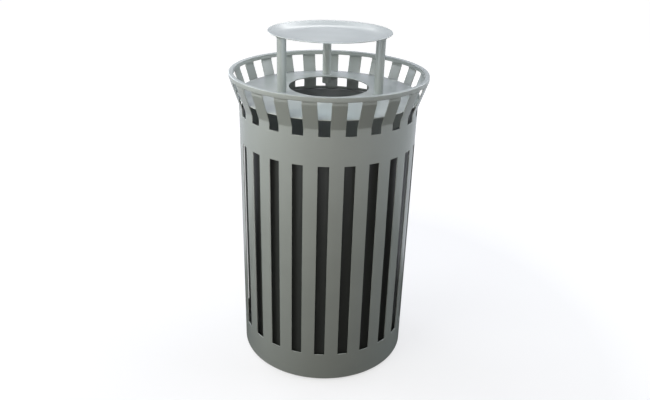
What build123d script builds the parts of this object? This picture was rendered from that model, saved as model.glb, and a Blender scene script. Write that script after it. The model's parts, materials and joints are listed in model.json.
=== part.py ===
from build123d import *
from math import cos, pi, radians, sin, tan
import os

# A round litter bin for outdoors: a rolled steel shell with two rows of slots,
# whose upper slats flare out to a rim ring, a plastic liner inside, and a
# lift-off lid with a throw-in hole under a rain bonnet on three posts.
# Millimetres, +Z up. The origin is the centre of the footprint on the floor,
# and the front is -Y. Angles are counted from the front towards +X.

# Shell: rolled, slotted sheet
shell_radius = 254.0        # outside of the upright sheet
shell_wall = 2.5
shell_lift = 6.0            # lower edge above the floor, on the levelling feet
slot_count = 23             # slots in each row
slot_width = 30.0
bottom_band_height = 88.0   # plain sheet below the tall slots
lower_slot_height = 597.0
middle_band_height = 80.5   # plain sheet between the two rows
upper_slot_stem = 20.5      # upright part of the upper slots
flare_height = 76.5         # from the bend up to the ring
slat_upright_height = 8.0   # slats turn upright again just under the ring
slot_cut_reach = 60.0       # how far a cutter reaches to each side of the sheet

# Rim ring: square bar, welded on the slats
ring_overhang = 26.0        # beyond the shell
ring_width = 12.5
ring_height = 12.5
slat_setback = 3.0          # slats stand this far inside the ring's outer face

# Base plate: disc welded in the foot of the shell
base_plate_lift = 32.0      # top of the plate above the shell's lower edge
base_plate_wall = 4.0
anchor_hole_radius = 7.0    # lets rain out too

# Levelling feet
foot_inset = 54.0           # from the shell's outside to the feet's axes
stud_radius = 5.0
thread_clearance = 0.15     # stud in its nuts
stud_socket_depth = 6.0     # stud moulded into the pad
pad_across_flats = 34.0     # hexagonal, to be turned by hand or spanner
pad_height = 11.0
nut_across_flats = 17.0
weld_nut_height = 10.0
jam_nut_height = 5.0

# Lid plate: shallow cone that sits in the flare
lid_edge_drop = 49.5        # top of its edge below the slats' ends
lid_cone_rise = 18.0
lid_hole_radius = 113.0
lid_wall = 3.0
lid_turn = 4.85             # degrees, as the lid lies in the shell

# Posts and bonnet
post_radius = 12.7
post_margin = 39.0          # from the hole's edge to the posts' axes
post_stub = 22.0            # below the lid plate
bonnet_overhang = 19.0      # beyond the posts' axes
bonnet_rim_lift = 173.0     # above the edge of the lid plate
bonnet_rim_width = 53.0     # raised border round the flat middle
bonnet_rim_slope = 11.0     # degrees, rising outwards
bonnet_wall = 2.5

# Liner: moulded plastic
liner_side_room = 14.5      # between the shell's inside and its wall
liner_headroom = 50.0       # from its rim up to the lid plate
liner_wall = 3.0
liner_rim_width = 9.0       # beyond the wall
anchor_room_radius = 35.0   # raised middle of its floor, over an anchor bolt's head
anchor_room_height = 14.0

# Fits
weld_gap = 0.3              # between welded pieces, filled by the bead
seat_gap = 0.3              # between pieces that only rest on each other
overrun = 20.0              # spare length of a cutter past the sheet

slot_pitch = 360 / slot_count
slot_low = shell_lift + bottom_band_height
slot_high = slot_low + lower_slot_height
upper_slot_low = slot_high + middle_band_height
bend_height = upper_slot_low + upper_slot_stem
slat_top = bend_height + flare_height
ring_radius = shell_radius + ring_overhang
slat_top_radius = ring_radius - slat_setback
slat_width = 2 * pi * shell_radius / slot_count - slot_width
base_top = shell_lift + base_plate_lift
base_underside = base_top - base_plate_wall
foot_circle_radius = shell_radius - foot_inset
lid_edge_top = slat_top - lid_edge_drop
liner_low = base_top + seat_gap
liner_top = lid_edge_top - lid_wall - liner_headroom
liner_radius = shell_radius - shell_wall - liner_side_room
post_circle_radius = lid_hole_radius + post_margin
bonnet_radius = post_circle_radius + bonnet_overhang
bonnet_flat_radius = bonnet_radius - bonnet_rim_width
bonnet_rim_top = lid_edge_top + bonnet_rim_lift
bonnet_flat_top = bonnet_rim_top - bonnet_rim_width * tan(radians(bonnet_rim_slope))
post_angles = {"post_left": lid_turn - 60, "post_right": lid_turn + 60, "post_back": lid_turn + 180}
foot_angles = {"front": 0, "right": 120, "left": 240}


def around(radius, angle):
    """Place on a circle about the axis, at an angle from the front."""
    return (radius * sin(radians(angle)), -radius * cos(radians(angle)))


def turned(profile):
    """Solid of revolution of a profile drawn with radius as x and height as y."""
    return revolve(Plane.XZ * profile, Axis.Z)


def sheet_profile(points, wall, side=Side.LEFT):
    """Section of bent sheet: a line of points thickened to one side by its wall."""
    outline = offset(Polyline(*points), amount=wall, side=side, kind=Kind.INTERSECTION, closed=True)
    return make_face(outline.edges())


def flare_inner_radius(height):
    """Inside of the sloping sheet at a height between the bend and the ring."""
    run = slat_top_radius - shell_radius
    rise = flare_height - slat_upright_height
    slant = (run**2 + rise**2) ** 0.5
    return shell_radius + run * (height - bend_height) / rise - shell_wall * slant / rise


def body_shell():
    sheet = turned(
        sheet_profile(
            [
                (shell_radius, shell_lift),
                (shell_radius, bend_height),
                (slat_top_radius, slat_top - slat_upright_height),
                (slat_top_radius, slat_top),
            ],
            shell_wall,
        )
    )
    cutters = []
    for index in range(slot_count):
        turn = Rot(0, 0, index * slot_pitch)
        cutters += [turn * lower_slot(), turn * upper_slot()]
    return sheet - cutters


def slot_cutter(outline):
    """Cutter for the front slot, from an outline drawn with x across and y up."""
    plane = Plane.XZ.offset(shell_radius - slot_cut_reach)
    return extrude(plane * outline, amount=2 * slot_cut_reach)


def lower_slot():
    middle = slot_low + lower_slot_height / 2
    return slot_cutter(Pos(0, middle) * Rectangle(slot_width, lower_slot_height))


def upper_slot():
    # The slats keep their width, so the slots widen with the flare.
    half = slot_width / 2
    top_half = (2 * pi * slat_top_radius / slot_count - slat_width) / 2
    side = [(half, upper_slot_low), (half, bend_height), (top_half, slat_top), (top_half, slat_top + overrun)]
    other_side = [(-x, y) for x, y in reversed(side)]
    return slot_cutter(make_face(Polyline(*side, *other_side, close=True).edges()))


def rim_ring():
    middle = (ring_radius - ring_width / 2, slat_top + weld_gap + ring_height / 2)
    return turned(Pos(*middle) * Rectangle(ring_width, ring_height))


def base_plate():
    disc = Circle(shell_radius - shell_wall - weld_gap) - Circle(anchor_hole_radius)
    return extrude(Plane.XY.offset(base_underside) * disc, amount=base_plate_wall)


def hexagon(across_flats):
    return RegularPolygon(across_flats / 2, 6, major_radius=False)


def nut(height, top):
    """Hexagon nut on the stud's axis, with its upper face at a height."""
    section = hexagon(nut_across_flats) - Circle(stud_radius + thread_clearance)
    return extrude(Plane.XY.offset(top - height) * section, amount=height)


def at_feet(make, *sizes):
    """One copy of a piece at each foot, as separate solids."""
    spots = [around(foot_circle_radius, angle) for angle in foot_angles.values()]
    return Compound(children=[Pos(*spot, 0) * make(*sizes) for spot in spots])


def weld_nuts():
    return at_feet(nut, weld_nut_height, base_underside - weld_gap)


def jam_nuts():
    return at_feet(nut, jam_nut_height, base_underside - weld_gap - weld_nut_height)


def foot_stud(angle):
    low = pad_height - stud_socket_depth
    high = base_underside - seat_gap
    stud = extrude(Plane.XY.offset(low) * Circle(stud_radius), amount=high - low)
    return Pos(*around(foot_circle_radius, angle), 0) * stud


def foot_pad(angle):
    block = extrude(hexagon(pad_across_flats), amount=pad_height)
    socket_low = pad_height - stud_socket_depth
    socket = extrude(Plane.XY.offset(socket_low) * Circle(stud_radius), amount=stud_socket_depth + overrun)
    return Pos(*around(foot_circle_radius, angle), 0) * (block - socket)


def liner():
    rim_underside = liner_top - liner_wall
    section = sheet_profile(
        [
            (0, liner_low + anchor_room_height),
            (anchor_room_radius, liner_low + anchor_room_height),
            (anchor_room_radius, liner_low),
            (liner_radius, liner_low),
            (liner_radius, rim_underside),
            (liner_radius + liner_rim_width, rim_underside),
        ],
        liner_wall,
    )
    return turned(section)


def lid_top(radius):
    """Height of the lid's coned top at a radius."""
    edge = flare_inner_radius(lid_edge_top) - seat_gap
    return lid_edge_top + lid_cone_rise * (edge - radius) / (edge - lid_hole_radius)


def lid_plate():
    edge = flare_inner_radius(lid_edge_top - lid_wall) - seat_gap
    section = Polyline(
        (edge, lid_top(edge) - lid_wall),
        (edge, lid_top(edge)),
        (lid_hole_radius, lid_top(lid_hole_radius)),
        (lid_hole_radius, lid_top(lid_hole_radius) - lid_wall),
        close=True,
    )
    holes = [
        Pos(*around(post_circle_radius, angle), lid_edge_top) * Cylinder(post_radius + weld_gap, 4 * overrun)
        for angle in post_angles.values()
    ]
    return turned(make_face(section.edges())) - holes


def bonnet_points(drop):
    """Top of the bonnet's section, from the axis to the rim, let down by a drop."""
    return [
        (0, bonnet_flat_top - drop),
        (bonnet_flat_radius, bonnet_flat_top - drop),
        (bonnet_radius, bonnet_rim_top - drop),
    ]


def bonnet():
    return turned(sheet_profile(bonnet_points(0), bonnet_wall, Side.RIGHT))


def post(angle):
    """Round bar from below the lid plate up to the bonnet, coped to its slope."""
    low = lid_top(post_circle_radius) - lid_wall - post_stub
    ceiling = bonnet_rim_top + overrun
    bar = extrude(Plane.XY.offset(low) * Circle(post_radius), amount=ceiling - low)
    room = Polyline(
        *bonnet_points(bonnet_wall + weld_gap),
        (bonnet_radius, ceiling + overrun),
        (0, ceiling + overrun),
        close=True,
    )
    return Pos(*around(post_circle_radius, angle), 0) * bar - turned(make_face(room.edges()))


def write(piece, node):
    export_step(piece, f"parts/{node}.step")


os.makedirs("parts", exist_ok=True)
write(body_shell(), "body_shell")
write(rim_ring(), "rim_ring")
write(base_plate(), "base_plate")
write(weld_nuts(), "weld_nuts")
write(jam_nuts(), "jam_nuts")
for side, angle in foot_angles.items():
    write(foot_stud(angle), f"foot_stud_{side}")
    write(foot_pad(angle), f"foot_pad_{side}")
write(liner(), "liner")
write(lid_plate(), "lid_plate")
for name, angle in post_angles.items():
    write(post(angle), name)
write(bonnet(), "bonnet")
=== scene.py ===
import json
import math

import bpy
import numpy as np
from mathutils import Matrix, Vector


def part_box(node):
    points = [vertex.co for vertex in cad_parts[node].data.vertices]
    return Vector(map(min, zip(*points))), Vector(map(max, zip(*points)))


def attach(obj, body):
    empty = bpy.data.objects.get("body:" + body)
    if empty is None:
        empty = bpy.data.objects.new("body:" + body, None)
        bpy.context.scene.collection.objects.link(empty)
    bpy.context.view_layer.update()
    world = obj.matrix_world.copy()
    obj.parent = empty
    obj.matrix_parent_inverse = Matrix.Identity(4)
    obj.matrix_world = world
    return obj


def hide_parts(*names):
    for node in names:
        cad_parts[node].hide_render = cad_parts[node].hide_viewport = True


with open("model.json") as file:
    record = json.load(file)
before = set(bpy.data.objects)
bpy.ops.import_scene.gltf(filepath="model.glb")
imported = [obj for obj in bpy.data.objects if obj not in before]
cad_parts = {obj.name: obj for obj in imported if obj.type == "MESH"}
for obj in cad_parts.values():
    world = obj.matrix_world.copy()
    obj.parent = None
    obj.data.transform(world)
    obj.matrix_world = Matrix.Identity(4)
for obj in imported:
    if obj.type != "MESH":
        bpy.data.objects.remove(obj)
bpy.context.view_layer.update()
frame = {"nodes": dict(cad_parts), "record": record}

nodes = frame["nodes"]
print("frame loaded:", len(nodes), "nodes")

# Lengths are metres and heights stand above the floor. Angles round the axis
# are counted from the front, which is -Y, towards +X.


def corners(name):
    # low and high corner of a CAD node's box
    low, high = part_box(name)
    return np.array(low), np.array(high)


def middleOf(name):
    # middle of a CAD node's box, seen from above
    low, high = corners(name)
    return (low + high)[:2] / 2


ringLow, ringHigh = corners("rim_ring")
shellLow, shellHigh = corners("body_shell")
lidLow, lidHigh = corners("lid_plate")
bonnetLow, bonnetHigh = corners("bonnet")
linerLow, linerHigh = corners("liner")
plateLow, plateHigh = corners("base_plate")


def fullTurn(steps):
    # 2 pi i / steps, for i from nothing up to the last step
    return np.arange(steps) * 2 * math.pi / steps


def around(radius, angle, height):
    # (r sin a, -r cos a, z), for numbers or arrays
    parts = np.broadcast_arrays(radius * np.sin(angle), -radius * np.cos(angle), height)
    return np.stack(parts, axis=-1)


def rounded(points, radii, steps=6):
    # the line through the points, each inner corner turned into an arc of its radius
    points = np.asarray(points, float)
    line = [points[:1]]
    for before, corner, after, radius in zip(points, points[1:], points[2:], radii):
        back = (before - corner) / np.linalg.norm(before - corner)
        ahead = (after - corner) / np.linalg.norm(after - corner)
        half = math.acos(float(np.clip(back @ ahead, -1, 1))) / 2
        middle = corner + (back + ahead) / np.linalg.norm(back + ahead) * radius / math.sin(half)
        start = corner + back * radius / math.tan(half) - middle
        end = corner + ahead * radius / math.tan(half) - middle
        first = math.atan2(start[1], start[0])
        sweep = (math.atan2(end[1], end[0]) - first + math.pi) % (2 * math.pi) - math.pi
        angle = first + sweep * np.linspace(0, 1, steps + 1)
        line.append(middle + radius * np.stack([np.cos(angle), np.sin(angle)], axis=1))
    line.append(points[-1:])
    return np.vstack(line)


def gridFaces(rows, columns, wrapRows, wrapColumns):
    # quads of a grid of rows by columns of points
    row = np.arange(rows if wrapRows else rows - 1)[:, None]
    column = np.arange(columns if wrapColumns else columns - 1)[None, :]
    nextRow = (row + 1) % rows
    nextColumn = (column + 1) % columns
    quads = [row * columns + column, row * columns + nextColumn,
             nextRow * columns + nextColumn, nextRow * columns + column]
    return np.stack(np.broadcast_arrays(*quads), axis=-1).reshape(-1, 4)


def addMesh(name, points, faceSets, material, body, slot, replaced=(), sharp=40):
    # one piece of the object; faceSets holds arrays of vertex numbers, one row a face
    sizes = np.concatenate([np.full(len(faces), faces.shape[1]) for faces in faceSets])
    loops = np.concatenate([faces.ravel() for faces in faceSets])
    starts = np.concatenate([[0], np.cumsum(sizes)[:-1]])
    mesh = bpy.data.meshes.new(name)
    mesh.vertices.add(len(points))
    mesh.vertices.foreach_set("co", np.asarray(points, np.float32).ravel())
    mesh.loops.add(len(loops))
    mesh.loops.foreach_set("vertex_index", loops.astype(np.int32))
    mesh.polygons.add(len(sizes))
    mesh.polygons.foreach_set("loop_start", starts.astype(np.int32))
    mesh.update(calc_edges=True)
    mesh.shade_smooth()
    mesh.set_sharp_from_angle(angle=math.radians(sharp))
    mesh.materials.append(material)
    piece = bpy.data.objects.new(name, mesh)
    bpy.context.scene.collection.objects.link(piece)
    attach(piece, body)
    if replaced:
        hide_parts(*replaced)
    return piece


def addRound(name, radius, height, *args, middle=(0, 0), **options):
    # point (row, column) stands at 2 pi column / columns round the middle, at its own radius and
    # height; the rows run anticlockwise in the section, as a closed loop, or from the axis to the
    # axis where the first radius is nothing
    radius, height = np.broadcast_arrays(radius, height)
    rows, columns = radius.shape
    points = around(radius, fullTurn(columns), height)
    if radius[0, 0] > 0:
        points = points.reshape(-1, 3)
        faceSets = [gridFaces(rows, columns, True, True)]
    else:
        count = (rows - 2) * columns
        points = np.vstack([points[1:-1].reshape(-1, 3), points[[0, -1], 0]])
        here = np.arange(columns)
        there = (here + 1) % columns
        last = count - columns
        faceSets = [
            gridFaces(rows - 2, columns, False, True),
            np.stack([np.full(columns, count), there, here], axis=1),
            np.stack([np.full(columns, count + 1), last + here, last + there], axis=1),
        ]
    return addMesh(name, points + np.array([*middle, 0]), faceSets, *args, **options)


def addTurned(name, section, *args, segments=256, **options):
    # solid of revolution of a section of (radius, height)
    section = np.asarray(section, float)
    radius = np.repeat(section[:, :1], segments, axis=1)
    return addRound(name, radius, section[:, 1:], *args, **options)


weld = {
    "ripple": 0.0016,       # length of one ripple along a bead
    "rippleShare": 0.07,    # of the bead's radius
    "sides": 12,
    "endShare": 0.01,       # square of what is left of the radius at an open bead's ends
    "endPower": 8,          # a higher one shrinks the ends later
    "sharp": 60,
}


def addBeads(name, paths, size, body, closed=False, up=(0, 0, 1), flat=1.0):
    # round beads along paths of shape (beads, steps, 3): point (s, v) = path + r (cos v side +
    # flat sin v upright), r with ripples along the way and shrinking at the ends of an open bead
    if closed:
        step = np.roll(paths, -1, axis=1) - np.roll(paths, 1, axis=1)
    else:
        step = np.gradient(paths, axis=1)
    length = np.linalg.norm(step, axis=2, keepdims=True)
    travel = np.cumsum(length, axis=1) / (2 if closed else 1)
    side = np.cross(np.array(up, float), step / length)
    side /= np.linalg.norm(side, axis=2, keepdims=True)
    upright = np.cross(step / length, side)
    beads, steps = paths.shape[:2]
    ripples = np.round(travel[:, -1:] / weld["ripple"])
    wave = np.sin(2 * math.pi * ripples * travel / travel[:, -1:])
    radius = size * (1 + weld["rippleShare"] * wave)
    if not closed:
        share = 1 + weld["endShare"] - np.linspace(-1, 1, steps) ** weld["endPower"]
        radius = radius * np.sqrt(share)[None, :, None]
    turn = fullTurn(weld["sides"])[:, None]
    across = np.cos(turn) * side[:, :, None] + flat * np.sin(turn) * upright[:, :, None]
    points = paths[:, :, None] + radius[:, :, None] * across
    first = (np.arange(beads) * steps * weld["sides"])[:, None, None]
    grid = gridFaces(steps, weld["sides"], closed, True)[None] + first
    faceSets = [grid.reshape(-1, 4)]
    if not closed:
        cap = np.arange(weld["sides"])[None, None, :] + first
        faceSets += [cap[:, 0, ::-1], cap[:, 0] + (steps - 1) * weld["sides"]]
    return addMesh(name, points.reshape(-1, 3), faceSets, coat, body, "powder_coat",
                   sharp=weld["sharp"])


def bevel(piece, width, segments=2, angle=40):
    # eases the edges that turn by more than the angle
    modifier = piece.modifiers.new("edges", "BEVEL")
    modifier.width = width
    modifier.segments = segments
    modifier.limit_method = "ANGLE"
    modifier.angle_limit = math.radians(angle)
    modifier.harden_normals = True


def hexToLinear(code):
    # sRGB hex to linear: c / 12.92 up to 0.04045, else ((c + 0.055) / 1.055) to the power 2.4
    parts = np.array([int(code[i:i + 2], 16) for i in (1, 3, 5)]) / 255
    linear = np.where(parts <= 0.04045, parts / 12.92, ((parts + 0.055) / 1.055) ** 2.4)
    return (*(float(c) for c in linear), 1.0)


def addNode(tree, kind, settings=None, **links):
    # a node with its plain properties; links set its sockets by name, or by number as i0, i1
    node = tree.nodes.new(kind)
    for key, value in (settings or {}).items():
        setattr(node, key, value)
    for key, value in links.items():
        numbered = key[0] == "i" and key[1:].isdigit()
        socket = node.inputs[int(key[1:])] if numbered else node.inputs[key.replace("_", " ")]
        if isinstance(value, bpy.types.NodeSocket):
            tree.links.new(value, socket)
        else:
            socket.default_value = value
    return node


def newMaterial(name):
    # an empty material and its tree
    material = bpy.data.materials.new(name)
    material.use_nodes = True
    material.node_tree.nodes.clear()
    return material, material.node_tree


noiseSpan = (0.3, 0.7)   # a noise texture's values nearly all lie between these

# Silver-grey polyester powder coat, sprayed on and baked: semi-gloss, with slow changes of tone
# where the film is thicker and a fine orange peel that only the highlights show
powderCoat = {
    "colour": "#9ca29d",
    "roughness": 0.21,
    "roughnessSpread": 0.03,
    "toneSpread": 0.025,
    "cloudSize": 0.11,
    "peelSize": 0.0022,     # real ones are 1 to 2 mm across
    "peelDepth": 0.000012,
}


def makePowderCoat(values):
    # colour and roughness both follow one slow noise, and a fine noise gives the peel
    material, tree = newMaterial("silverPowderCoat")
    low, high = noiseSpan
    toneSpread, roughSpread = values["toneSpread"], values["roughnessSpread"]
    where = addNode(tree, "ShaderNodeTexCoord").outputs["Object"]
    cloud = addNode(tree, "ShaderNodeTexNoise", Vector=where, Scale=1 / values["cloudSize"],
                    Detail=3.0, Roughness=0.55).outputs[0]
    tone = addNode(tree, "ShaderNodeMapRange", i0=cloud, i1=low, i2=high,
                   i3=1 - toneSpread, i4=1 + toneSpread).outputs[0]
    colour = addNode(tree, "ShaderNodeVectorMath", {"operation": "SCALE"},
                     i0=hexToLinear(values["colour"])[:3], Scale=tone).outputs[0]
    rough = addNode(tree, "ShaderNodeMapRange", i0=cloud, i1=low, i2=high,
                    i3=values["roughness"] - roughSpread,
                    i4=values["roughness"] + roughSpread).outputs[0]
    peel = addNode(tree, "ShaderNodeTexNoise", Vector=where, Scale=1 / values["peelSize"],
                   Detail=1.0).outputs[0]
    bump = addNode(tree, "ShaderNodeBump", Height=peel, Distance=values["peelDepth"],
                   Strength=1.0).outputs[0]
    shader = addNode(tree, "ShaderNodeBsdfPrincipled", Base_Color=colour, Roughness=rough,
                     Normal=bump)
    addNode(tree, "ShaderNodeOutputMaterial", Surface=shader.outputs[0])
    return material


# Black polyethylene, rotationally moulded: satin and a little waxy, with the fine grain of the
# mould and scuffs that run up and down where it slides in and out of the shell. Inside it is
# painted paler than outside: painted light, standing in for the light inside the tub
linerPlastic = {
    "colour": "#3f4240",
    "scuffColour": "#484b49",
    # painted light: the inside is painted paler than the outside, for the light inside the tub
    "paintedLightInsideColour": "#757977",
    "insideRadius": 0.2355,     # in the middle of the wall
    "roughness": 0.36,
    "scuffRoughness": 0.12,     # added where it is scuffed
    "scuffFrom": 0.55,
    "scuffTo": 0.75,
    "scuffWidth": 0.006,
    "scuffLength": 0.15,
    "grainSize": 0.0014,
    "grainDepth": 0.00004,
}


def makeLinerPlastic(values):
    # scuffs where a noise drawn out along the height is high; inside, by the distance to the axis,
    # painted light
    material, tree = newMaterial("blackPolyethylene")
    width, length = values["scuffWidth"], values["scuffLength"]
    where = addNode(tree, "ShaderNodeTexCoord").outputs["Object"]
    stretched = addNode(tree, "ShaderNodeMapping", Vector=where,
                        Scale=(1 / width, 1 / width, 1 / length)).outputs[0]
    scuff = addNode(tree, "ShaderNodeTexNoise", Vector=stretched, Scale=1.0, Detail=4.0,
                    Roughness=0.6).outputs[0]
    share = addNode(tree, "ShaderNodeMapRange", i0=scuff, i1=values["scuffFrom"],
                    i2=values["scuffTo"], i3=0.0, i4=1.0).outputs[0]
    outside = addNode(tree, "ShaderNodeMix", {"data_type": "RGBA"}, i0=share,
                      i6=hexToLinear(values["colour"]),
                      i7=hexToLinear(values["scuffColour"])).outputs[2]
    level = addNode(tree, "ShaderNodeVectorMath", {"operation": "MULTIPLY"}, i0=where,
                    i1=(1, 1, 0)).outputs[0]
    reach = addNode(tree, "ShaderNodeVectorMath", {"operation": "LENGTH"},
                    i0=level).outputs["Value"]
    # painted light: nearer the axis than the wall's middle, the inside takes the paler colour
    inside = addNode(tree, "ShaderNodeMath", {"operation": "LESS_THAN"}, i0=reach,
                     i1=values["insideRadius"]).outputs[0]
    colour = addNode(tree, "ShaderNodeMix", {"data_type": "RGBA"}, i0=inside, i6=outside,
                     i7=hexToLinear(values["paintedLightInsideColour"])).outputs[2]
    rough = addNode(tree, "ShaderNodeMapRange", i0=share, i1=0.0, i2=1.0, i3=values["roughness"],
                    i4=values["roughness"] + values["scuffRoughness"]).outputs[0]
    grain = addNode(tree, "ShaderNodeTexNoise", Vector=where, Scale=1 / values["grainSize"],
                    Detail=2.0).outputs[0]
    bump = addNode(tree, "ShaderNodeBump", Height=grain, Distance=values["grainDepth"],
                   Strength=1.0).outputs[0]
    shader = addNode(tree, "ShaderNodeBsdfPrincipled", Base_Color=colour, Roughness=rough,
                     Normal=bump)
    addNode(tree, "ShaderNodeOutputMaterial", Surface=shader.outputs[0])
    return material


# Black nylon, injection-moulded: matt, with the spark-eroded grain of the tool and grey dust
# low down from the ground
padPlastic = {
    "colour": "#2b2b2a",
    "dustColour": "#5d5850",
    "dustShare": 0.5,       # at the floor
    "dustHeight": 0.006,
    "roughness": 0.62,
    "grainSize": 0.0008,
    "grainDepth": 0.00003,
}


def makePadPlastic(values):
    # dust falls off with height, and lies in the grain
    material, tree = newMaterial("blackNylon")
    where = addNode(tree, "ShaderNodeTexCoord").outputs["Object"]
    height = addNode(tree, "ShaderNodeSeparateXYZ", Vector=where).outputs[2]
    grain = addNode(tree, "ShaderNodeTexNoise", Vector=where, Scale=1 / values["grainSize"],
                    Detail=2.0).outputs[0]
    cover = addNode(tree, "ShaderNodeMapRange", i0=height, i1=0.0, i2=values["dustHeight"],
                    i3=values["dustShare"], i4=0.0).outputs[0]
    dust = addNode(tree, "ShaderNodeMath", {"operation": "MULTIPLY"}, i0=cover, i1=grain).outputs[0]
    colour = addNode(tree, "ShaderNodeMix", {"data_type": "RGBA"}, i0=dust,
                     i6=hexToLinear(values["colour"]),
                     i7=hexToLinear(values["dustColour"])).outputs[2]
    bump = addNode(tree, "ShaderNodeBump", Height=grain, Distance=values["grainDepth"],
                   Strength=1.0).outputs[0]
    shader = addNode(tree, "ShaderNodeBsdfPrincipled", Base_Color=colour,
                     Roughness=values["roughness"], Normal=bump)
    addNode(tree, "ShaderNodeOutputMaterial", Surface=shader.outputs[0])
    return material


# Steel with a bright zinc plate: a clear metal shine, cloudy from bluish to faintly yellow
zincPlate = {
    "colour": "#c4c6c8",
    "warmColour": "#cbc5b2",
    "warmFrom": 0.35,
    "warmTo": 0.65,
    "leastRoughness": 0.24,
    "mostRoughness": 0.38,
    "cloudSize": 0.006,
}


def makeZincPlate(values):
    # colour and roughness both follow one cloudy noise
    material, tree = newMaterial("brightZincPlate")
    where = addNode(tree, "ShaderNodeTexCoord").outputs["Object"]
    cloud = addNode(tree, "ShaderNodeTexNoise", Vector=where, Scale=1 / values["cloudSize"],
                    Detail=3.0).outputs[0]
    share = addNode(tree, "ShaderNodeMapRange", i0=cloud, i1=values["warmFrom"],
                    i2=values["warmTo"], i3=0.0, i4=1.0).outputs[0]
    colour = addNode(tree, "ShaderNodeMix", {"data_type": "RGBA"}, i0=share,
                     i6=hexToLinear(values["colour"]),
                     i7=hexToLinear(values["warmColour"])).outputs[2]
    rough = addNode(tree, "ShaderNodeMapRange", i0=cloud, i1=noiseSpan[0], i2=noiseSpan[1],
                    i3=values["leastRoughness"], i4=values["mostRoughness"]).outputs[0]
    shader = addNode(tree, "ShaderNodeBsdfPrincipled", Base_Color=colour, Roughness=rough,
                     Metallic=1.0)
    addNode(tree, "ShaderNodeOutputMaterial", Surface=shader.outputs[0])
    return material


coat = makePowderCoat(powderCoat)
polyethylene = makeLinerPlastic(linerPlastic)
nylon = makePadPlastic(padPlastic)
zinc = makeZincPlate(zincPlate)
slotMaterials = {
    "powder_coat": coat,
    "liner_plastic": polyethylene,
    "foot_plastic": nylon,
    "zinc_plate": zinc,
}
for part in frame["record"]["subparts"]:
    solid = nodes[part["node"]].data
    solid.materials.clear()
    solid.materials.append(slotMaterials[part["material_slot"]])
print("materials made")

# Shell: one rolled sheet, cut with two rows of slots; the upper slats flare out
shell = {
    "radius": 0.254,
    "wall": 0.0025,
    "slots": 23,
    "slotWidth": 0.030,
    "lowerSlot": (0.094, 0.691),   # heights of its ends
    "upperSlotFoot": 0.7715,
    "bend": 0.792,
    "uprightTop": 0.008,           # the slats stand upright again under the ring
    "bendRadius": 0.022,
    "topBendRadius": 0.020,
    "edgeRadius": 0.0006,          # coated edge of the cut
    "seamWidth": 0.006,            # the roll's closing weld, ground nearly flush, at the back
    "seamHeight": 0.0004,
    "seamEnd": 0.001,              # from the seam's ends to the sheet's
    "seamSteps": 500,              # a millimetre or two apart
    "bendSteps": 8,
    "slotRows": 30,
    "bandRows": 4,                 # in each of the two plain bands
    "flareRows": 11,
    "leastRow": 0.0002,            # rows nearer than this to the last are left out
    "slotColumns": 4,
    "slatColumns": 8,
    "sharp": 30,
}
slotPitch = 2 * math.pi / shell["slots"]
slatWidth = slotPitch * shell["radius"] - shell["slotWidth"]


def shellProfile(values):
    # outer face of the sheet as (radius, height), from its lower edge to the ring
    low, high = shellLow[2], shellHigh[2]
    points = [(values["radius"], low), (values["radius"], values["bend"]),
              (shellHigh[0], high - values["uprightTop"]), (shellHigh[0], high)]
    return rounded(points, (values["bendRadius"], values["topBendRadius"]), values["bendSteps"])


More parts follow.
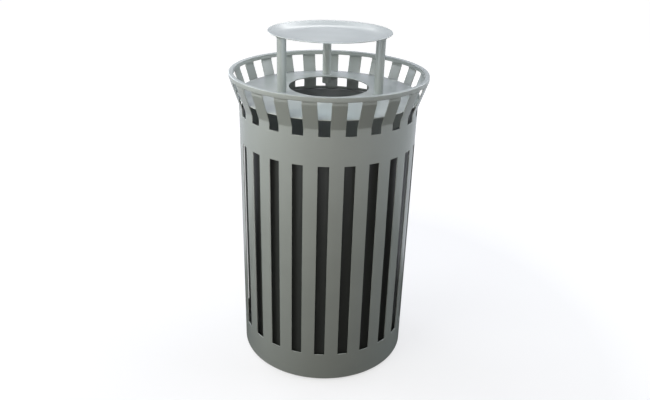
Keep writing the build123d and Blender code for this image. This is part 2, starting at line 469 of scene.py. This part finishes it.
def makeShell(values):
    # outer face (R(z), a) and inner face a wall's thickness along the normal inwards, on one
    # grid of heights by angles; cells inside a slot are left out and the cut is walled
    profile = shellProfile(values)
    low, high = profile[0, 1], profile[-1, 1]
    slotLow, slotHigh = values["lowerSlot"]
    upperFoot, bend = values["upperSlotFoot"], values["bend"]
    spans = ((low, slotLow, values["bandRows"]), (slotLow, slotHigh, values["slotRows"]),
             (slotHigh, upperFoot, values["bandRows"]), (bend, high, values["flareRows"]))
    levels = [np.linspace(start, end, rows + 1) for start, end, rows in spans]
    height = np.unique(np.round(np.concatenate([profile[:, 1], *levels]), 6))
    height = height[np.concatenate([[True], np.diff(height) > values["leastRow"]])]
    radius = np.interp(height, profile[:, 1], profile[:, 0])
    slope = np.gradient(radius, height)
    lean = np.sqrt(1 + slope**2)
    innerRadius = radius - values["wall"] / lean
    innerHeight = np.clip(height + values["wall"] * slope / lean, low, high)

    # the slots widen with the flare, so the slats keep their width
    topSlot = slotPitch * radius[-1] - slatWidth
    half = np.interp(height, [bend, high], [values["slotWidth"], topSlot]) / 2
    # columns: -1 to 1 over each slot, then 1 to 2 over the slat beside it
    share = np.concatenate([np.linspace(-1, 1, values["slotColumns"] + 1)[:-1],
                            np.linspace(1, 2, values["slatColumns"] + 1)[:-1]])
    column = np.arange(len(share) * values["slots"])
    spot = share[column % len(share)]
    centre = (column // len(share)) * slotPitch

    def angles(radii):
        # a flat slot's edge, w / 2 from its middle, stands at arcsin(w / 2r)
        edge = np.arcsin(half / radii)[:, None]
        return centre + np.where(spot <= 1, spot * edge, edge + (spot - 1) * (slotPitch - 2 * edge))

    outer = around(radius[:, None], angles(radius), height[:, None])
    inner = around(innerRadius[:, None], angles(innerRadius), innerHeight[:, None])
    rows, columns = len(height), len(column)
    points = np.concatenate([outer.reshape(-1, 3), inner.reshape(-1, 3)])

    middle = (height[1:] + height[:-1])[:, None] / 2
    cut = (middle > slotLow) & (middle < slotHigh) | (middle > upperFoot)
    solid = ~(cut & (spot < 1)[None, :])
    number = np.arange(rows * columns).reshape(rows, columns)
    ahead = np.roll(number, -1, axis=1)
    quads = np.stack([number[:-1], ahead[:-1], ahead[1:], number[1:]], axis=-1)
    toInner = rows * columns
    sets = [quads[solid], quads[solid][:, ::-1] + toInner]
    # walls of the sheet's thickness, where a filled cell has an empty one beside it
    none = np.zeros((1, columns), bool)
    below = solid & ~np.vstack([none, solid[:-1]])
    above = solid & ~np.vstack([solid[1:], none])
    left = solid & ~np.roll(solid, 1, axis=1)
    right = solid & ~np.roll(solid, -1, axis=1)
    for cells, one, two in ((below, 0, 1), (right, 1, 2), (above, 2, 3), (left, 3, 0)):
        near, far = quads[cells][:, one], quads[cells][:, two]
        sets.append(np.stack([far, near, near + toInner, far + toInner], axis=1))
    used, faces = np.unique(np.concatenate(sets), return_inverse=True)
    piece = addMesh("slottedShell", points[used], [faces.reshape(-1, 4)], coat, "root",
                    "powder_coat", ["body_shell"], sharp=values["sharp"])
    bevel(piece, values["edgeRadius"])

    seamHeight = np.linspace(low + values["seamEnd"], high - values["seamEnd"], values["seamSteps"])
    seamRadius = np.interp(seamHeight, profile[:, 1], profile[:, 0])
    path = around(seamRadius, math.pi, seamHeight)
    addBeads("shellSeam", path[None], values["seamWidth"] / 2, "root", up=(0, 1, 0),
             flat=2 * values["seamHeight"] / values["seamWidth"])


makeShell(shell)
print("shell made")

# Rim ring: square bar with rolled corners, bent round and welded on the slats
rim = {
    "cornerRadius": 0.0016,
    "outerBead": 0.0022,
    "innerBead": 0.0026,
    "beadDrop": 0.2,        # below the ring, as a share of the bead's radius
    "beadSteps": 40,
}


def makeRim(values):
    # a rounded square turned round the axis
    outside = min(*ringHigh[:2], *-ringLow[:2])
    inside = outside - (ringHigh[2] - ringLow[2])
    middle = (outside + inside) / 2
    low, high = ringLow[2], ringHigh[2]
    points = [(middle, low), (outside, low), (outside, high), (inside, high), (inside, low),
              (middle, low)]
    section = rounded(points, [values["cornerRadius"]] * 4)[:-1]
    addTurned("rimRing", section, coat, "root", "powder_coat", ["rim_ring"])
    # a bead along each slat's end, outside and inside
    slat = (np.arange(shell["slots"]) + 0.5)[:, None] * slotPitch
    face = shellHigh[0]
    for name, radius, size in (("outerRimWelds", face, values["outerBead"]),
                               ("innerRimWelds", face - shell["wall"], values["innerBead"])):
        half = (slatWidth / 2 - size) / radius
        angle = slat + np.linspace(-half, half, values["beadSteps"])
        addBeads(name, around(radius, angle, low - values["beadDrop"] * size), size, "root")


makeRim(rim)
print("rim made")

# Base plate: a disc stitch-welded in the foot of the shell, with a hole for a ground anchor
basePlate = {
    "holeRadius": 0.007,
    "edgeRadius": 0.0008,
    "edgeSteps": 3,
    "stitches": 8,
    "stitchLength": 0.045,
    "stitchSize": 0.003,
    "stitchSteps": 60,
}


def makeBasePlate(values):
    # a rounded rectangle turned round the axis, and stitches evenly along its lower edge
    outside, hole = plateHigh[0], values["holeRadius"]
    low, high = plateLow[2], plateHigh[2]
    middle = (outside + hole) / 2
    points = [(middle, low), (outside, low), (outside, high), (hole, high), (hole, low),
              (middle, low)]
    section = rounded(points, [values["edgeRadius"]] * 4, values["edgeSteps"])[:-1]
    addTurned("basePlate", section, coat, "root", "powder_coat", ["base_plate"])
    half = values["stitchLength"] / 2 / outside
    centre = fullTurn(values["stitches"])[:, None] + math.pi / values["stitches"]
    angle = centre + np.linspace(-half, half, values["stitchSteps"])
    addBeads("basePlateWelds", around(outside, angle, low), values["stitchSize"], "root")


makeBasePlate(basePlate)
print("base plate made")

# Levelling feet: threaded studs in nylon pads, each with a welded nut and a lock nut
feet = {
    "studRadius": 0.005,
    "threadPitch": 0.0015,
    "threadDepth": 0.0009,
    "threadSlope": 1.4,        # steepness of the tooth's flanks
    "threadCrest": 0.2,        # share of the tooth cut off flat
    "threadRows": 8,           # to one pitch
    "threadColumns": 36,
    "nutAcrossFlats": 0.017,
    "nutSharpness": 160,
    "nutFace": 0.95,           # width of the round end face, as a share of the nut's
    "coneAngle": 30,
    "coneDepth": 0.0009,
    "coneRows": 6,
    "boreRadius": 0.00515,
    "boreSink": 0.0007,
    "padAcrossFlats": 0.034,
    "padSharpness": 26,
    "padEdge": 0.0011,
    "collarRadius": 0.0075,
    "collarHeight": 0.0012,
    "socketLow": 0.005,
    "columns": 72,
    "beadRadius": 0.0015,
    "beadSharpness": 40,
    "beadSteps": 144,
}
footNames = ("front", "right", "left")


def hexRadius(angle, acrossFlats, sharpness):
    # distance to a hexagon: half its width over the p-norm of the cosines to its six sides
    sides = np.arange(6)[:, None] * math.pi / 3
    reach = np.maximum(np.cos(angle - sides), 0) ** sharpness
    return acrossFlats / 2 / reach.sum(axis=0) ** (1 / sharpness)


def makeNut(name, low, high, spot, replaced):
    # hexagon cut at both ends by a cone, with a countersunk bore
    hexagon = hexRadius(fullTurn(feet["columns"]), feet["nutAcrossFlats"], feet["nutSharpness"])
    depth = np.linspace(0, feet["coneDepth"], feet["coneRows"] + 1)
    face = feet["nutFace"] * feet["nutAcrossFlats"] / 2
    cone = (face + depth / math.tan(math.radians(feet["coneAngle"])))[:, None]
    outer = np.minimum(hexagon, cone)
    bore, sink = feet["boreRadius"], feet["boreSink"]
    inner = np.array([[bore + sink], [bore], [bore], [bore + sink]])
    radius = np.vstack([outer, outer[::-1], np.repeat(inner, feet["columns"], axis=1)])
    height = np.concatenate([low + depth, high - depth[::-1], [high, high - sink, low + sink, low]])
    addRound(name, radius, height[:, None], zinc, "root", "zinc_plate", replaced, middle=spot,
             sharp=25)


def makeStud(name, node, body, spot):
    # r = R - depth * tooth(z / pitch - a / 2 pi), chamfered at both ends
    low, high = corners(node)
    rows = int((high[2] - low[2]) / feet["threadPitch"] * feet["threadRows"])
    height = np.linspace(low[2], high[2], rows)[:, None]
    phase = (height / feet["threadPitch"] - fullTurn(feet["threadColumns"]) / (2 * math.pi)) % 1
    tooth = np.clip(np.abs(2 * phase - 1) * feet["threadSlope"] - feet["threadCrest"], 0, 1)
    end = feet["studRadius"] - feet["threadDepth"] + np.minimum(height - low[2], high[2] - height)
    radius = np.minimum(feet["studRadius"] - feet["threadDepth"] * tooth, end)
    poles = np.zeros((1, feet["threadColumns"]))
    radius = np.vstack([poles, radius, poles])
    height = np.vstack([height[:1], height, height[-1:]])
    addRound(name, radius, height, zinc, body, "zinc_plate", [node], middle=spot, sharp=50)


def makePad(name, node, body, spot):
    # rounded hexagon with eased edges, a low collar and the stud's blind socket
    low, high = corners(node)
    hexagon = hexRadius(fullTurn(feet["columns"]), feet["padAcrossFlats"], feet["padSharpness"])
    edge, collar, rise = feet["padEdge"], feet["collarRadius"], feet["collarHeight"]
    # from the flat underside, round the edge and up
    easing = rounded([(-2 * edge, 0), (0, 0), (0, 2 * edge)], [edge], steps=4)[1:-1]
    top = high[2] - rise
    height = np.concatenate([[low[2]], low[2] + easing[:, 1], top - easing[::-1, 1],
                             [top, high[2], high[2]], [feet["socketLow"]] * 2])
    outer = hexagon + easing[:, :1]
    level = np.ones((1, feet["columns"]))
    inner = [r * level for r in (collar + rise, collar, feet["studRadius"], feet["studRadius"], 0)]
    radius = np.vstack([0 * level, outer, outer[::-1], *inner])
    addRound(name, radius, height[:, None], nylon, body, "foot_plastic", [node], middle=spot,
             sharp=35)


def makeFeet():
    # one foot below each of the three spots, and a bead round the top of each welded nut
    beadAngle = fullTurn(feet["beadSteps"])
    beadReach = hexRadius(beadAngle, feet["nutAcrossFlats"], feet["beadSharpness"])
    weldTop = corners("weld_nuts")[1][2]
    beadPaths = []
    for name in footNames:
        side, body = name.title(), "foot_" + name
        spot = middleOf("foot_stud_" + name)
        makeStud("stud" + side, "foot_stud_" + name, body, spot)
        makePad("pad" + side, "foot_pad_" + name, body, spot)
        # one node holds the three nuts of a kind, so the front one stands for it by name
        first = name == footNames[0]
        for kind, node in (("weldNut", "weld_nuts"), ("jamNut", "jam_nuts")):
            low, high = corners(node)
            makeNut(kind + side, low[2], high[2], spot, [node] if first else ())
        path = around(beadReach, beadAngle, weldTop)
        beadPaths.append(path + np.array([*spot, 0]))
    addBeads("nutWelds", np.array(beadPaths), feet["beadRadius"], "root", closed=True)


makeFeet()
print("feet made")

# Lid plate: a shallow cone of steel plate with a throw-in hole
lid = {"holeRadius": 0.113, "wall": 0.003, "edgeRadius": 0.0007, "outerEdgeRadius": 0.0022}


def lidTop(radius):
    # straight up from the edge to the hole
    share = (lidHigh[0] - radius) / (lidHigh[0] - lid["holeRadius"])
    edge = lidLow[2] + lid["wall"]
    return edge + (lidHigh[2] - edge) * share


def makeLid(values):
    # a band of the cone's height, a wall thick, turned round the axis
    outside, inside = lidHigh[0], values["holeRadius"]
    wall, middle, edge = values["wall"], (outside + inside) / 2, values["edgeRadius"]
    points = [(middle, lidTop(middle) - wall), (outside, lidTop(outside) - wall),
              (outside, lidTop(outside)), (inside, lidTop(inside)), (inside, lidTop(inside) - wall),
              (middle, lidTop(middle) - wall)]
    section = rounded(points, [edge, values["outerEdgeRadius"], edge, edge])[:-1]
    addTurned("lidPlate", section, coat, "lid", "powder_coat", ["lid_plate"])


makeLid(lid)

# Bonnet: spun disc with a raised border
bonnet = {
    "borderWidth": 0.053,
    "borderSlope": 11.0,    # degrees
    "wall": 0.0025,
    "bendRadius": 0.190,
    "noseRadius": 0.0011,
    "arcSteps": 16,
    "segments": 320,
}


def bonnetSection(values):
    # from the axis out along the underside, round the rim and back along the top
    slope, wall = math.radians(values["borderSlope"]), values["wall"]
    high, flat = bonnetHigh[2], bonnetLow[2] + wall
    rim = bonnetHigh[0] - wall * math.sin(slope)
    bend = rim - values["borderWidth"]
    points = [(0, flat - wall), (bend + wall * math.tan(slope / 2), flat - wall),
              (bonnetHigh[0], high - wall * math.cos(slope)), (rim, high), (bend, flat), (0, flat)]
    bendRadius, nose = values["bendRadius"], values["noseRadius"]
    return rounded(points, [bendRadius + wall, nose, nose, bendRadius], values["arcSteps"])


bonnetOutline = bonnetSection(bonnet)


def bonnetUnderside(radius):
    # between the outline's first point, those of the bend, and the first of the rim's arc
    under = bonnetOutline[:bonnet["arcSteps"] + 3]
    return np.interp(radius, under[:, 0], under[:, 1])


addTurned("rainBonnet", bonnetOutline, coat, "lid", "powder_coat", ["bonnet"],
          segments=bonnet["segments"])
print("lid and bonnet made")

# Posts: three round bars, welded through the lid plate and under the bonnet
posts = {
    "footChamfer": 0.001,
    "plainEnd": 0.03,       # from each end to the nearest row of points between
    "columns": 64,
    "beadRadius": 0.0024,
    "beadSteps": 180,
}
postNames = ("post_left", "post_right", "post_back")


def makePosts(values):
    # upright bars: the feet are chamfered, and the tops follow the bonnet's underside
    beadTurn = fullTurn(values["beadSteps"])
    chamfer, plain, columns = values["footChamfer"], values["plainEnd"], values["columns"]
    lidPaths, bonnetPaths = [], []
    for name in postNames:
        low, high = corners(name)
        centre, size = middleOf(name), (high - low)[0] / 2
        # middle and edge of the foot, chamfer, two plain rows, and edge and middle of the top
        radius = np.array([0, size - chamfer, size, size, size, size, 0])
        rows = np.array([low[2], low[2], low[2] + chamfer, low[2] + plain, high[2] - plain, 0, 0])
        height = np.repeat(rows[:, None], columns, axis=1)
        edge = around(size, fullTurn(columns), 0)[:, :2] + centre
        height[5] = bonnetUnderside(np.hypot(edge[:, 0], edge[:, 1]))
        height[6] = bonnetUnderside(np.hypot(*centre))
        addRound(name.title().replace("Post_", "bar"), np.repeat(radius[:, None], columns, axis=1),
                 height, coat, "lid", "powder_coat", [name], middle=centre)
        ring = around(size, beadTurn, 0) + np.array([*centre, 0])
        reach = np.hypot(ring[:, 0], ring[:, 1])
        for paths, level in ((lidPaths, lidTop(reach)), (lidPaths, lidTop(reach) - lid["wall"]),
                             (bonnetPaths, bonnetUnderside(reach))):
            paths.append(np.column_stack([ring[:, :2], level]))
    addBeads("postFootWelds", np.array(lidPaths), values["beadRadius"], "lid", closed=True)
    addBeads("postTopWelds", np.array(bonnetPaths), values["beadRadius"], "lid", closed=True)


makePosts(posts)
print("posts made")

# Liner: moulded black tub with a flat rim, its floor raised over the anchor
liner = {
    "wall": 0.003,
    "rimWidth": 0.009,
    "footRadius": 0.012,
    "bossRadius": 0.035,
    "bossHeight": 0.014,
    "edgeRadius": 0.0012,
    "bossEdge": 0.003,
    "arcSteps": 5,
}


def makeLiner(values):
    # from the axis out along the underside, up to the rim, and back down the inside
    wall, rimRadius = values["wall"], linerHigh[0]
    outside = rimRadius - values["rimWidth"]
    low, high = linerLow[2], linerHigh[2]
    foot, boss, raised = values["footRadius"], values["bossRadius"], low + values["bossHeight"]
    points = [(0, raised), (boss, raised), (boss, low), (outside, low), (outside, high - wall),
              (rimRadius, high - wall), (rimRadius, high), (outside - wall, high),
              (outside - wall, low + wall), (boss + wall, low + wall),
              (boss + wall, raised + wall), (0, raised + wall)]
    edge, bossEdge = values["edgeRadius"], values["bossEdge"]
    radii = [bossEdge, bossEdge, foot, edge, edge, edge, edge, foot - wall, bossEdge, bossEdge]
    section = rounded(points, radii, values["arcSteps"])
    addTurned("linerTub", section, polyethylene, "liner", "liner_plastic", ["liner"])


makeLiner(liner)
print("liner made")

# Camera fitted to the photo
photoCamera = {
    "distance": 1.7986,     # metres from the bin's axis, on the level
    "height": 1.3109,
    "azimuth": 1.85,        # degrees round to the right of the front
    "pitch": 24.766,        # degrees downwards
    "pan": -0.085,
    "roll": 1.452,          # the photo hangs a little to the right
    "focalPixels": 646.83,
    "imageWidth": 650,
    "sensor": 36.0,
}


def makeCamera(values):
    # looks along +Y, pitched, panned and rolled, then carried round the axis by the azimuth
    camera = bpy.data.cameras.new("photoCamera")
    camera.sensor_width = values["sensor"]
    camera.lens = values["focalPixels"] / values["imageWidth"] * values["sensor"]
    pan, pitch, roll = (math.radians(values[key]) for key in ("pan", "pitch", "roll"))
    right = Vector((math.cos(pan), -math.sin(pan), 0))
    level = Vector((math.sin(pan), math.cos(pan), 0))
    forward = level * math.cos(pitch) - Vector((0, 0, math.sin(pitch)))
    up = right.cross(forward)
    rolledRight = math.cos(roll) * right + math.sin(roll) * up
    rolledUp = -math.sin(roll) * right + math.cos(roll) * up
    turn = Matrix.Rotation(math.radians(values["azimuth"]), 4, "Z")
    basis = Matrix((rolledRight, rolledUp, -forward)).transposed().to_4x4()
    holder = bpy.data.objects.new("photoCamera", camera)
    place = Matrix.Translation((0, -values["distance"], values["height"]))
    holder.matrix_world = turn @ place @ basis
    bpy.context.scene.collection.objects.link(holder)
    bpy.context.scene.camera = holder


makeCamera(photoCamera)

# Studio: soft boxes round the bin, each facing the point of the axis at the height of its aim.
# The low ones reach the posts under the bonnet, and a small one behind gives the bonnet's bend
# its highlight. Two faint ones open up the liner and the posts
lowBox = {"distance": 1.9, "height": 1.15, "size": 1.0, "aim": 0.6}
box = {"distance": 1.7, "height": 1.9, "size": 1.2, "aim": 0.6}
highBox = {"distance": 1.1, "height": 2.5, "size": 0.9, "aim": 0.6}
bendSpot = {"distance": 2.0, "height": 1.76, "size": 0.22, "aim": 0.98}
postSpot = {"distance": 0.262, "height": 0.94, "size": 0.18, "aim": 0.95}
linerSpot = {"distance": 0.17, "height": 0.70, "size": 0.12, "aim": 0.40}
studio = {
    "frontLow": {**lowBox, "angle": 0, "watts": 8.8, "colour": "#fff6f0"},
    "frontLeftLow": {**lowBox, "angle": 315, "watts": 5, "colour": "#fffdf6"},
    "rightLow": {**lowBox, "angle": 90, "watts": 15, "colour": "#f6fbfd"},
    "backLeftLow": {**lowBox, "angle": 225, "watts": 11, "colour": "#eaf2ff"},
    "frontLeftBox": {**box, "angle": 315, "watts": 19, "colour": "#fffffa"},
    "leftBox": {**box, "angle": 270, "watts": 22, "colour": "#fafbff"},
    "backLeftBox": {**box, "angle": 225, "watts": 10, "colour": "#f2f5ff"},
    "backRightBox": {**box, "angle": 135, "watts": 20, "colour": "#f6f8ff"},
    "rightHigh": {**highBox, "angle": 90, "watts": 9, "colour": "#e4e8ff"},
    "leftHigh": {**highBox, "angle": 270, "watts": 7, "colour": "#e4e8ff"},
    "backHigh": {**highBox, "angle": 180, "watts": 9, "colour": "#e4e8ff"},
    "bendLight": {**bendSpot, "angle": 182.8, "watts": 0.5, "colour": "#ffffff"},
    "linerLight": {**linerSpot, "angle": 0, "watts": 0.2, "colour": "#f4fcff"},
    "postLight": {**postSpot, "angle": 0, "watts": 0.18, "colour": "#e0ecff"},
}


def makeStudio():
    # each box stands at its angle, distance and height, and faces its aim
    for name, values in studio.items():
        light = bpy.data.lights.new(name, "AREA")
        light.shape = "SQUARE"
        light.size = values["size"]
        light.energy = values["watts"]
        light.color = hexToLinear(values["colour"])[:3]
        angle = math.radians(values["angle"])
        place = Vector(around(values["distance"], angle, values["height"]))
        holder = bpy.data.objects.new(name, light)
        holder.location = place
        way = Vector((0, 0, values["aim"])) - place
        holder.rotation_mode = "QUATERNION"
        holder.rotation_quaternion = way.to_track_quat("-Z", "Y")
        holder.visible_camera = False
        bpy.context.scene.collection.objects.link(holder)


makeStudio()

# Pale surroundings: white to the camera and pale in reflections, dim as a light. The floor is
# mirrored dark round the foot, painted shade of the bin, and paler the further away it lies
surroundings = {
    "fill": 0.03,
    "glossTint": "#f3f6ff",
    "frontGloss": 0.6,
    "backGlossLow": 0.58,
    "backGlossHigh": 1.0,
    "frontToBack": (-0.2, 0.2),     # y of a ray's direction, over which front turns to back
    "lowToHigh": (0.1, 0.5),        # z of it, over which low turns to high
    "floorTone": 0.07,
    # in reflections: painted shade round the foot, fading to pale between near and far
    "frontFloor": {"near": 1.1, "far": 2.3, "nearGloss": 0.02, "farGloss": 1.16},
    "backFloor": {"near": 0.3, "far": 0.5, "gloss": 0.76},
    "seenFloor": {"near": 0.9, "far": 2.2, "glow": 0.62, "tone": 0.3},
    "floorHalf": 40.0,
}


def eitherRay(tree):
    # two shares of 0 or 1: a ray from the camera, and a mirrored or transmitted one
    path = addNode(tree, "ShaderNodeLightPath")
    gloss = addNode(tree, "ShaderNodeMath", {"operation": "MAXIMUM"},
                    i0=path.outputs["Is Glossy Ray"],
                    i1=path.outputs["Is Transmission Ray"]).outputs[0]
    return path.outputs["Is Camera Ray"], gloss


def makeWorld(values):
    # mirrored rays: one tone in front, and behind a tone that rises with height
    world = bpy.data.worlds.new("paleBackdrop")
    world.use_nodes = True
    tree = world.node_tree
    tree.nodes.clear()
    camera, gloss = eitherRay(tree)
    way = addNode(tree, "ShaderNodeTexCoord").outputs["Generated"]
    direction = addNode(tree, "ShaderNodeSeparateXYZ", Vector=way)
    low, high = values["lowToHigh"]
    upward = addNode(tree, "ShaderNodeMapRange", i0=direction.outputs[2], i1=low, i2=high,
                     i3=values["backGlossLow"], i4=values["backGlossHigh"]).outputs[0]
    front, back = values["frontToBack"]
    behind = addNode(tree, "ShaderNodeMapRange", i0=direction.outputs[1], i1=front, i2=back,
                     i3=0.0, i4=1.0).outputs[0]
    pale = addNode(tree, "ShaderNodeMix", i0=behind, i2=values["frontGloss"], i3=upward).outputs[0]
    shine = addNode(tree, "ShaderNodeMix", i0=gloss, i2=values["fill"], i3=pale).outputs[0]
    strength = addNode(tree, "ShaderNodeMix", i0=camera, i2=shine, i3=1.0).outputs[0]
    colour = addNode(tree, "ShaderNodeMix", {"data_type": "RGBA"}, i0=camera,
                     i6=hexToLinear(values["glossTint"]), i7=(1, 1, 1, 1)).outputs[2]
    background = addNode(tree, "ShaderNodeBackground", Color=colour, Strength=strength)
    addNode(tree, "ShaderNodeOutputWorld", Surface=background.outputs[0])
    bpy.context.scene.world = world


def makeFloor(values):
    # one look for the camera, one for mirrored rays and a dim one for the light it sends back
    mesh = bpy.data.meshes.new("floor")
    half = values["floorHalf"]
    outline = [(-half, -half, 0), (half, -half, 0), (half, half, 0), (-half, half, 0)]
    mesh.from_pydata(outline, [], [(0, 1, 2, 3)])
    floor = bpy.data.objects.new("floor", mesh)
    bpy.context.scene.collection.objects.link(floor)
    material, tree = newMaterial("paleFloor")
    camera, gloss = eitherRay(tree)
    where = addNode(tree, "ShaderNodeTexCoord").outputs["Object"]
    reach = addNode(tree, "ShaderNodeVectorMath", {"operation": "LENGTH"},
                    i0=where).outputs["Value"]
    back = addNode(tree, "ShaderNodeSeparateXYZ", Vector=where).outputs[1]
    # seen directly: white, with the bin's shadow round its foot
    seenFloor = values["seenFloor"]
    glow = addNode(tree, "ShaderNodeMapRange", i0=reach, i1=seenFloor["near"],
                   i2=seenFloor["far"], i3=seenFloor["glow"], i4=1.0).outputs[0]
    white = addNode(tree, "ShaderNodeEmission", Strength=glow)
    tone = seenFloor["tone"]
    shadowed = addNode(tree, "ShaderNodeBsdfDiffuse", Color=(tone, tone, tone, 1))
    seen = addNode(tree, "ShaderNodeAddShader", i0=white.outputs[0], i1=shadowed.outputs[0])
    # mirrored in the bin: dark round the foot, painted shade, and paler further away
    frontFloor, backFloor = values["frontFloor"], values["backFloor"]
    ahead = addNode(tree, "ShaderNodeMapRange", i0=reach, i1=frontFloor["near"],
                    i2=frontFloor["far"], i3=frontFloor["nearGloss"],
                    i4=frontFloor["farGloss"]).outputs[0]
    behind = addNode(tree, "ShaderNodeMapRange", i0=back, i1=backFloor["near"],
                     i2=backFloor["far"], i3=0.0, i4=1.0).outputs[0]
    pale = addNode(tree, "ShaderNodeMix", i0=behind, i2=ahead, i3=backFloor["gloss"]).outputs[0]
    mirrored = addNode(tree, "ShaderNodeEmission", Color=hexToLinear(values["glossTint"]),
                       Strength=pale)
    # for the light it sends back
    tone = values["floorTone"]
    dim = addNode(tree, "ShaderNodeBsdfDiffuse", Color=(tone, tone, tone, 1))
    other = addNode(tree, "ShaderNodeMixShader", i0=gloss, i1=dim.outputs[0],
                    i2=mirrored.outputs[0])
    surface = addNode(tree, "ShaderNodeMixShader", i0=camera, i1=other.outputs[0],
                      i2=seen.outputs[0])
    addNode(tree, "ShaderNodeOutputMaterial", Surface=surface.outputs[0])
    mesh.materials.append(material)


makeWorld(surroundings)
makeFloor(surroundings)
bpy.context.scene.view_settings.view_transform = "Standard"
print("camera, lights and floor made")
